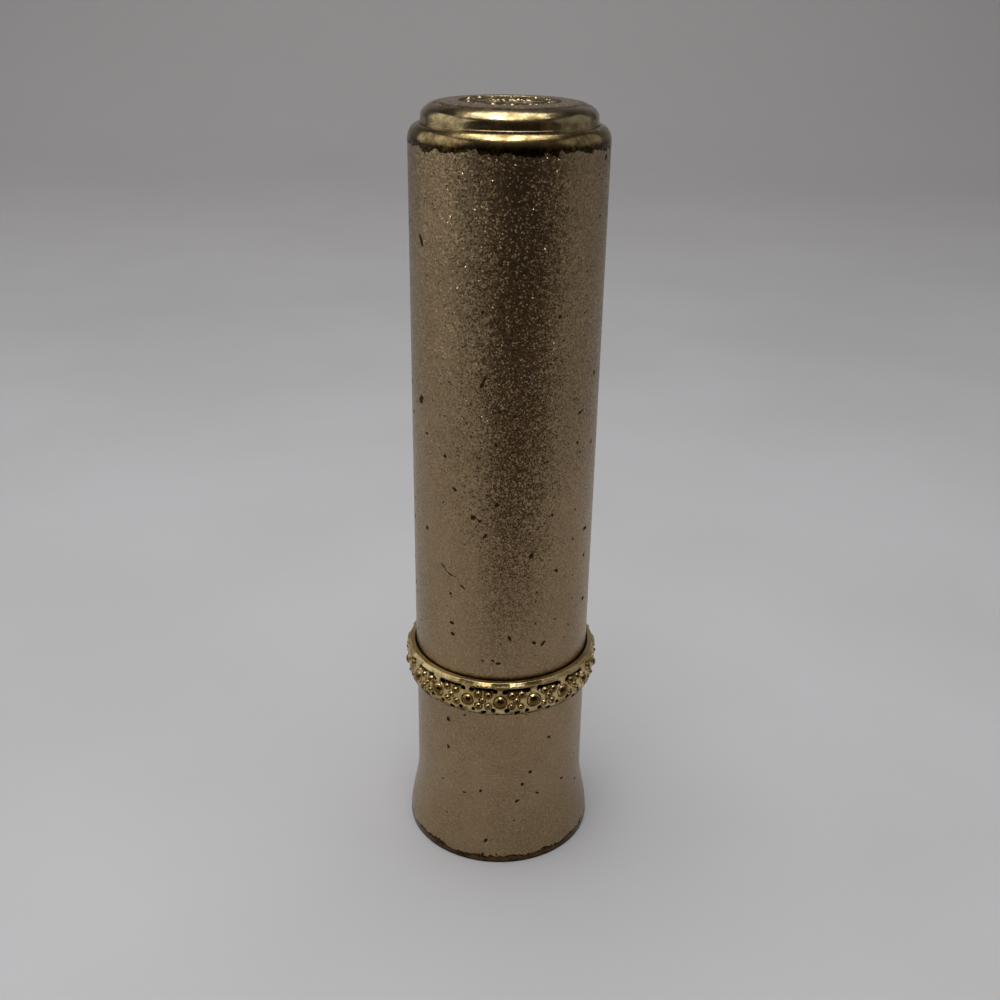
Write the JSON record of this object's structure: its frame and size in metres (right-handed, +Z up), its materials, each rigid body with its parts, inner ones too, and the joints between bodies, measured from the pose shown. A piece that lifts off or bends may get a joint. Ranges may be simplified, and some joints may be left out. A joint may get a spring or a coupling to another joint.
{
  "type": "lipstick case",
  "caption": "Upright swivel lipstick case in frosted lacquered brass: flared base, gilt beaded ring, long pull-off cap with a stepped top, screw mechanism and stick inside.",
  "frame": {"origin": "centre of the foot, on the surface that the case stands on", "axes": "+Z up the case towards the cap's top, -Y to the front, +X to the right"},
  "size_m": [0.0202, 0.0206, 0.076],
  "materials": {
    "base_lacquer": "frosted champagne-gold lacquer over brass, worn through at the bottom edge",
    "cap_lacquer": "frosted champagne-gold lacquer over brass, pitted, worn through on the shoulder",
    "top_lacquer": "frosted lacquer rubbed down to brass on its edges",
    "ring_gilt": "bright gilt, darkened in the hollows",
    "plate_brass": "plain stamped brass",
    "mechanism_brass": "plain drawn brass",
    "sleeve_brass": "polished brass",
    "liner_aluminium": "plain drawn aluminium",
    "washer_plastic": "moulded, off-white",
    "label_paper": "blank cream paper",
    "stick_wax": "moulded lipstick wax with a satin skin"
  },
  "bodies": {
    "base": {"base_shell": "base_lacquer", "base_plate": "plate_brass", "shade_label": "label_paper", "base_insert": "mechanism_brass", "slotted_tube": "mechanism_brass", "ornament_ring": "ring_gilt"},
    "sleeve": {"spiral_sleeve": "mechanism_brass", "outer_sleeve": "sleeve_brass", "friction_washer": "washer_plastic"},
    "carrier": {"carrier_cup": "mechanism_brass", "carrier_stud_right": "mechanism_brass", "carrier_stud_left": "mechanism_brass", "lipstick": "stick_wax"},
    "cap": {"cap_shell": "cap_lacquer", "cap_top": "top_lacquer", "cap_liner": "liner_aluminium"}
  },
  "joints": [
    {"name": "sleeve_turn", "type": "hinge", "parent": "base", "child": "sleeve", "pos_m": [0, 0, 0.026], "axis": [0, 0, -1], "range_deg": [0, 450]},
    {"name": "carrier_lift", "type": "slide", "parent": "base", "child": "carrier", "axis": [0, 0, 1], "range_m": [0, 0.02]},
    {"name": "cap_lift", "type": "slide", "parent": "sleeve", "child": "cap", "axis": [0, 0, 1], "range_m": [0, 0.07]}
  ],
  "couplings": [
    {"joint": "carrier_lift", "follows": "sleeve_turn", "m_per_rad": 0.0025465}
  ]
}
